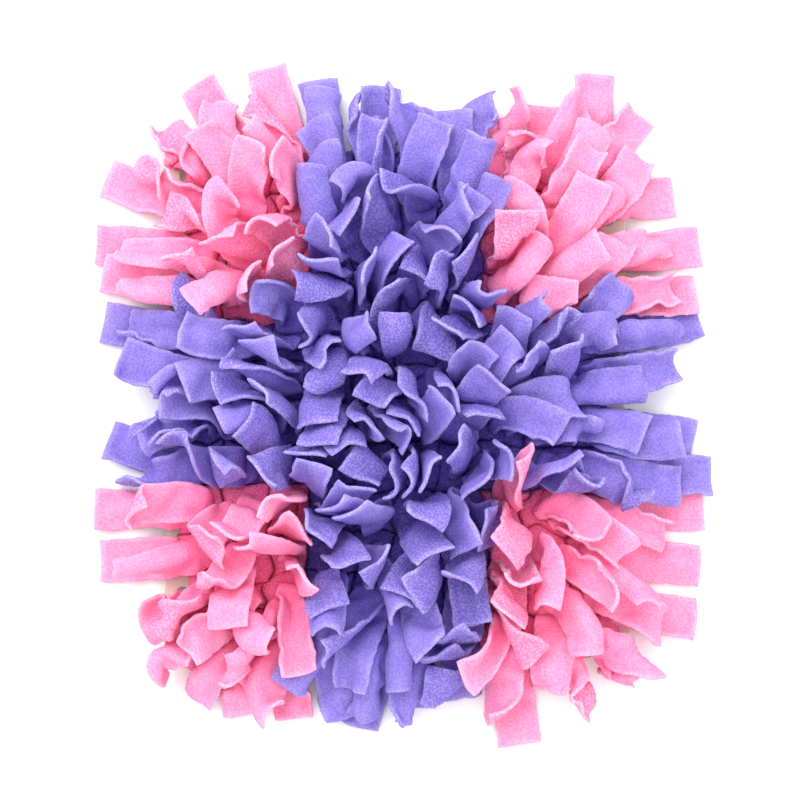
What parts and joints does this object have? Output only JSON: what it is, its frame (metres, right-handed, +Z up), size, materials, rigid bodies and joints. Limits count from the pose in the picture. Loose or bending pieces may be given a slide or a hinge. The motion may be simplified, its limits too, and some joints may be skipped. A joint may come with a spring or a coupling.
{
  "type": "snuffle mat",
  "caption": "Square snuffle mat: a purple cross and pink corners of knotted fleece strips on a holed pale rubber base mat.",
  "frame": {"origin": "on the floor, under the middle of the mat", "axes": "+Z up, +Y to the top edge of the picture, +X to its right edge"},
  "size_m": [0.4039, 0.446, 0.0881],
  "materials": {
    "pale_rubber": "matt moulded",
    "purple_fleece": "brushed, matt",
    "pink_fleece": "brushed, matt"
  },
  "bodies": {
    "root": {"base_mat": "pale_rubber", "purple_cross": "purple_fleece", "pink_corner_nw": "pink_fleece", "pink_corner_ne": "pink_fleece", "pink_corner_sw": "pink_fleece", "pink_corner_se": "pink_fleece"}
  },
  "joints": []
}
